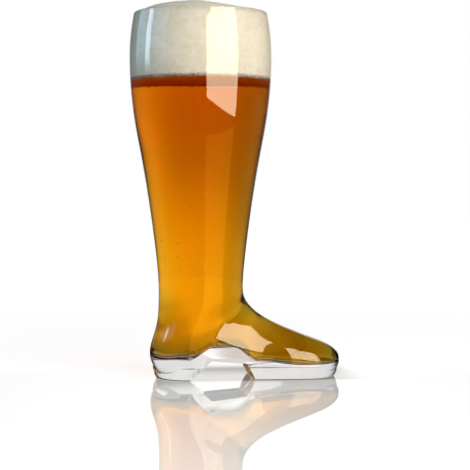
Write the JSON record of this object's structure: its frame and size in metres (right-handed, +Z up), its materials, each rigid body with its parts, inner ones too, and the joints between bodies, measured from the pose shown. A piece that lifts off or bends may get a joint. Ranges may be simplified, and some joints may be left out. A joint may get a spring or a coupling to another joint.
{
  "type": "beer boot glass",
  "caption": "Drinking glass in the shape of a riding boot, with a thick arched sole, filled with amber beer under a domed head of foam.",
  "frame": {"origin": "on the table, under the middle of the whole glass's box", "axes": "+Z up along the shaft, +X towards the toe, Y across the foot"},
  "size_m": [0.1511, 0.1016, 0.268],
  "materials": {
    "clear_glass": "fire-polished clear glass",
    "amber_beer": "clear amber liquid",
    "cream_foam": "fine matt foam"
  },
  "bodies": {
    "root": {"glass_boot": "clear_glass", "beer": "amber_beer", "foam_head": "cream_foam"}
  },
  "joints": []
}
